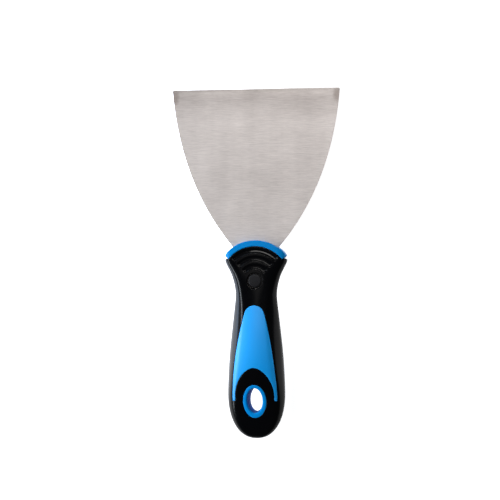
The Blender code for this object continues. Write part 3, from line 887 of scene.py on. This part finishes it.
def make_ring():
    """The ring round the hang hole: flush rim, rounded lip and a slightly drafted bore."""
    count = 96
    angle = np.linspace(0, 2 * math.pi, count, endpoint=False)
    rows = []

    def oval(half, y):
        return half[0] * np.sin(angle), y + half[1] * np.cos(angle)

    def add(x, y, z):
        rows.append(np.stack([x, y, z], axis=-1))

    outer = np.array(RING_HALF) - RING_GAP
    lip = np.array(BORE_HALF) + LIP_REACH
    x, y = oval(outer, HOLE_Y)
    add(x, y, np.full(count, SEAM))
    for inset, drop in EDGE_ROWS[:3]:
        x, y = oval(outer - inset, HOLE_Y)
        add(x, y, surface_height(x, y) - drop)
    rim = outer - EDGE_ROWS[2][0]
    for share in (0.35, 0.7, 1.0):
        x, y = oval(rim + (lip - rim) * share, HOLE_Y + (BORE_Y - HOLE_Y) * share)
        add(x, y, surface_height(x, y))
    lip_height = rows[-1][:, 2]
    for turn in np.radians(np.linspace(LIP_START_DEGREES, 90, 8)):
        x, y = oval(lip - LIP_REACH * math.sin(turn), BORE_Y)
        add(x, y, lip_height - LIP_FALL * (1 - math.cos(turn)))
    bore_start = len(rows) - BORE_ROWS_OF_LIP
    wall_height = rows[-1][:, 2]
    for share in BORE_HEIGHTS:
        x, y = oval(np.array(BORE_HALF) + (np.array(BORE_MIDDLE_HALF) - BORE_HALF) * share, BORE_Y)
        add(x, y, wall_height + (SEAM - wall_height) * share)
    x, y = oval(np.array(BORE_MIDDLE_HALF) + BORE_CHAMFER, BORE_Y)
    add(x, y, np.full(count, SEAM))
    faces = []
    for r in range(len(rows)):
        following = (r + 1) % len(rows)
        for i in range(count):
            j = (i + 1) % count
            faces.append([r * count + i, r * count + j, following * count + j, following * count + i])
    # the bore's faces take the darker blue, painted shade in the hole
    bore = range(bore_start * count, (len(rows) - 1) * count)
    both_halves("hang_ring", np.vstack(rows), faces, LIT_RING_BLUE, "core_plastic", "core",
                sharp=50, second=(SHADED_BORE_BLUE, bore))


def make_collar():
    """The band between the blade and the skin, hollowed where the blade lies under it."""

    def outline(distance):
        return collar_outline(-distance)

    points, drops, triangles, numbers = panel(outline, COLLAR_CLEAR)
    top, _ = handle_points(points, drops)
    under = top.copy()
    under[:, 2] = np.where(np.abs(top[:, 0]) < COLLAR_SEAT_HALF_WIDTH, COLLAR_SEAT_HEIGHT, SEAM)
    under[:, 2] = np.minimum(under[:, 2], top[:, 2] - 0.01)
    vertices, faces = closed(top, under, triangles, numbers)
    both_halves("collar", vertices, faces, GLOSS_BLUE, "core_plastic", "core")


# ----------------------------------------------------------------------- caps


def make_caps():
    """Snap caps over the rivet: a shallow crowned disc with a rounded rim on a wider flange."""
    profile = [(r, CAP_TOP - CAP_CROWN * r * r) for r in (0.0, 0.8, 1.6, 2.4, 3.0)]
    rim = CAP_TOP - CAP_CROWN * CAP_ROUND_START**2
    for turn in np.radians(np.linspace(0, 90, 6)):
        out, down = CAP_ROUND * math.sin(turn), CAP_ROUND * (1 - math.cos(turn))
        profile.append((CAP_ROUND_START + out, rim - down))
    profile += [(CAP_RADIUS, FLANGE_TOP), (FLANGE_RADIUS, FLANGE_TOP), (FLANGE_RADIUS, FLANGE_BOTTOM),
                (0.0, FLANGE_BOTTOM)]
    count = 64
    vertices, faces, rings = [], [], []
    for r, z in profile:
        if r == 0.0:
            rings.append([len(vertices)])
            vertices.append((0.0, 0.0, z))
            continue
        rings.append(list(range(len(vertices), len(vertices) + count)))
        for i in range(count):
            turn = 2 * math.pi * i / count
            vertices.append((r * math.sin(turn), r * math.cos(turn), z))
    for upper, lower in zip(rings, rings[1:]):
        for i in range(count):
            j = (i + 1) % count
            if len(upper) == 1:
                faces.append([upper[0], lower[j], lower[i]])
            elif len(lower) == 1:
                faces.append([upper[i], upper[j], lower[0]])
            else:
                faces.append([upper[i], upper[j], lower[j], lower[i]])
    both_halves("cap_disc", vertices, faces, CAP_BLACK, "cap_plastic", "cap", sharp=50)


# ------------------------------------------------------ floor, light, camera


def make_floor():
    """The table top, a hair below the lowest point of the tool."""
    mesh = bpy.data.meshes.new("floor")
    corners = [(FLOOR_HALF * x, FLOOR_HALF * y, -FLOOR_GAP)
               for x, y in ((-1, -1), (1, -1), (1, 1), (-1, 1))]
    mesh.from_pydata(corners, [], [(0, 1, 2, 3)])
    mesh.materials.append(floor_paper())
    floor = bpy.data.objects.new("floor", mesh)
    bpy.context.scene.collection.objects.link(floor)


def softbox(name, place_at, aim, size, power, colour):
    """A rectangular area light that faces its aim."""
    light = bpy.data.lights.new(name, "AREA")
    light.shape = "RECTANGLE"
    light.size, light.size_y = size
    light.energy = power
    light.color = colour
    lamp = bpy.data.objects.new(name, light)
    lamp.location = place_at
    lamp.rotation_euler = (Vector(aim) - Vector(place_at)).to_track_quat("-Z", "Y").to_euler()
    bpy.context.scene.collection.objects.link(lamp)


def make_light():
    """A soft key from the left, a strip beyond the blade, a weak box overhead and a dim room."""
    softbox("left_box", place_at=(-0.75, 0.0, 0.42), aim=(0, 0, 0), size=(0.9, 0.115),
            power=7.8, colour=WINDOW_LIGHT)
    softbox("top_strip", place_at=(0.06, 0.53, 0.72), aim=(0, 0.02, 0), size=(0.6, 0.12),
            power=3.1, colour=WARM_LIGHT)
    softbox("overhead_box", place_at=(-0.13, 0.15, 0.88), aim=(0, 0.02, 0), size=(0.4, 0.2),
            power=0.22, colour=OVERHEAD_LIGHT)
    world = bpy.data.worlds.new("studio")
    world.use_nodes = True
    tree = world.node_tree
    split = tree.nodes.new("ShaderNodeSeparateXYZ")
    tree.links.new(tree.nodes.new("ShaderNodeTexCoord").outputs["Generated"], split.inputs["Vector"])

    def fade(axis, start, end, at_start, at_end):
        node = tree.nodes.new("ShaderNodeMapRange")
        node.inputs["From Min"].default_value = start
        node.inputs["From Max"].default_value = end
        node.inputs["To Min"].default_value = at_start
        node.inputs["To Max"].default_value = at_end
        tree.links.new(split.outputs[axis], node.inputs["Value"])
        return node.outputs["Result"]

    # brighter near the horizon on the left, dim everywhere else
    glow = tree.nodes.new("ShaderNodeMath")
    glow.operation = "MULTIPLY_ADD"
    tree.links.new(fade("Z", 0.05, 0.45, 0.7, 0.0), glow.inputs[0])
    tree.links.new(fade("X", -0.4, 0.3, 1.7, 0.1), glow.inputs[1])
    glow.inputs[2].default_value = 0.10
    tree.links.new(glow.outputs["Value"], tree.nodes["Background"].inputs["Strength"])
    tree.nodes["Background"].inputs["Color"].default_value = (0.92, 0.96, 1.0, 1.0)
    bpy.context.scene.world = world
    bpy.context.scene.view_settings.view_transform = "Standard"


def make_camera():
    """Straight above the knife, a little to its right, so that the bore's left wall shows."""
    yaw, pitch, roll = (math.radians(turn) for turn in (CAMERA_YAW, CAMERA_PITCH, CAMERA_ROLL))
    back = Vector((math.sin(yaw) * math.cos(pitch), math.sin(pitch), math.cos(yaw) * math.cos(pitch)))
    up = (Vector((0, 1, 0)) - back * back.y).normalized()
    right = up.cross(back)
    basis = Matrix((right, up, back)).transposed() @ Matrix.Rotation(roll, 3, "Z")
    turn = TOOL.to_3x3().normalized()
    camera = bpy.data.objects.new("camera", bpy.data.cameras.new("camera"))
    camera.data.sensor_width = SENSOR
    camera.data.lens = SENSOR * CAMERA_DISTANCE / VIEW_WIDTH
    place_at = TOOL @ (Vector(CAMERA_AIM) + back * CAMERA_DISTANCE)
    camera.matrix_world = Matrix.Translation(place_at) @ (turn @ basis).to_4x4()
    bpy.context.scene.collection.objects.link(camera)
    bpy.context.scene.camera = camera


def dress_rivet():
    """The rivet keeps its CAD shape and gets a plated finish."""
    for node in ("rivet_barrel", "rivet_pin"):
        body = frame["nodes"][node]
        body.data.materials.clear()
        body.data.materials.append(RIVET_STEEL)


make_camera()
make_blade()
make_skin()
make_inlay()
make_ring()
make_collar()
make_caps()
dress_rivet()
make_floor()
make_light()
